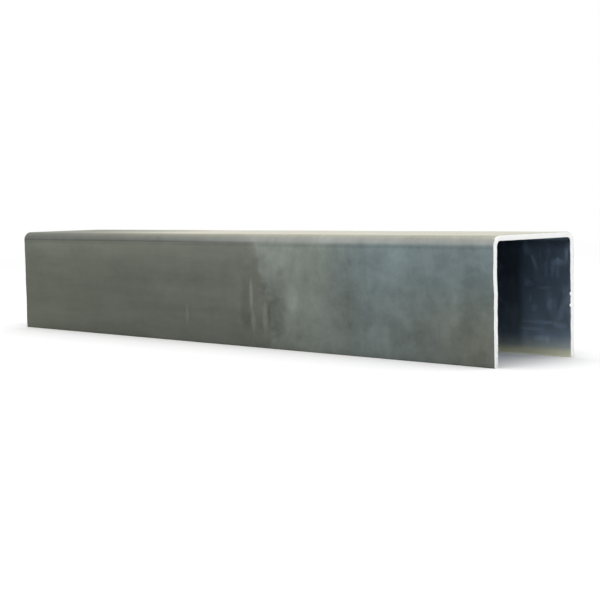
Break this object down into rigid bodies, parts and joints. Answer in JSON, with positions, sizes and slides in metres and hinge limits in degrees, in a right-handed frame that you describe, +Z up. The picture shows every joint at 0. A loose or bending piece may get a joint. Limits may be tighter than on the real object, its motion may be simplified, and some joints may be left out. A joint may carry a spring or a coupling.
{
  "type": "horse stall channel",
  "caption": "Short length of folded galvanized steel U-channel with square sawn ends and rounded bends, mouth down; boards slide between its legs.",
  "frame": {"origin": "on the floor, under the middle of the web, halfway along the length: the bottom centre of the bounding box", "axes": "+X along the length, towards the end that shows; +Y across the web; +Z up, out of the web's outer face, away from the open mouth"},
  "size_m": [0.2794, 0.0452, 0.0444],
  "materials": {
    "galvanized_steel": "dull galvanized sheet with a soft satin sheen, faint mottling and handling marks; sawn ends bright"
  },
  "bodies": {
    "root": {"stall_channel": "galvanized_steel"}
  },
  "joints": []
}
